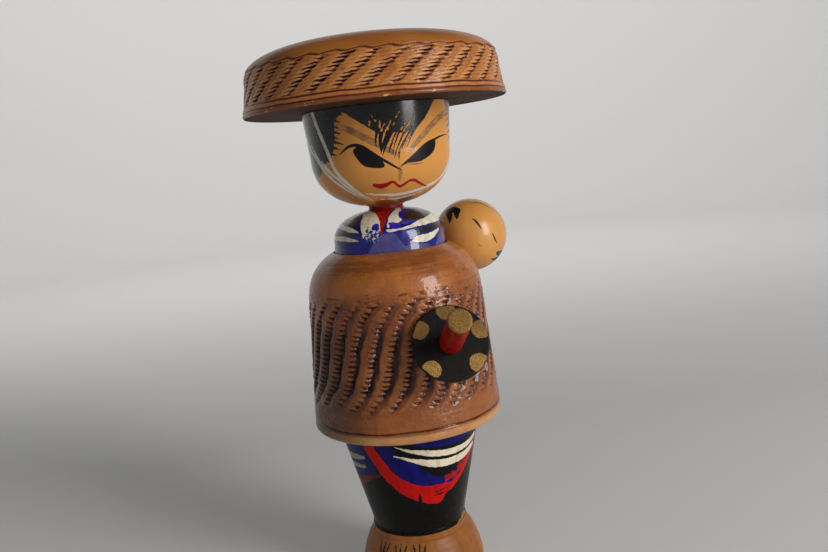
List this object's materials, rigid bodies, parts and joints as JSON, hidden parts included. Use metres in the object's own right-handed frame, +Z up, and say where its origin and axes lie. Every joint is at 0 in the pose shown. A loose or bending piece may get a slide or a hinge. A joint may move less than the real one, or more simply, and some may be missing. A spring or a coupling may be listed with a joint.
{
  "type": "kokeshi doll",
  "caption": "Turned wooden kokeshi doll of a traveller with a round straw hat, carved straw cape, short sword and a child's head at the shoulder.",
  "frame": {"origin": "centre of the base's flat lower face, on the doll's turning axis", "axes": "+Z up along the doll's turning axis; the body's front faces -Y, the doll's left hand side is +X"},
  "size_m": [0.0898, 0.1011, 0.1936],
  "materials": {
    "bare_wood": "satin varnish",
    "dowel_wood": "raw",
    "kimono_paint": "gloss paint",
    "stained_straw": "satin varnish over stain",
    "face_wood": "gloss varnish",
    "black_paint": "satin paint",
    "red_paint": "satin paint"
  },
  "bodies": {
    "doll_body": {"base": "bare_wood", "base_dowel": "dowel_wood", "lower_body": "kimono_paint", "body_dowel": "dowel_wood", "cape": "stained_straw", "shoulders": "kimono_paint", "neck_peg": "dowel_wood", "child_peg": "dowel_wood", "sword_guard": "black_paint", "sword_hilt": "red_paint"},
    "head": {"head": "face_wood", "crown_peg": "dowel_wood"},
    "hat": {"hat": "stained_straw"},
    "child_head": {"child_head": "face_wood"}
  },
  "joints": [
    {"name": "head_turn", "type": "hinge", "parent": "doll_body", "child": "head", "pos_m": [0, 0, 0.137], "axis": [0, 0, 1], "continuous": true},
    {"name": "hat_turn", "type": "hinge", "parent": "head", "child": "hat", "pos_m": [0, 0, 0.1707], "axis": [0, 0, 1], "continuous": true},
    {"name": "child_head_turn", "type": "hinge", "parent": "doll_body", "child": "child_head", "pos_m": [0.02779, 0.02779, 0.1213], "axis": [0.5337, 0.5337, 0.6561], "continuous": true}
  ]
}
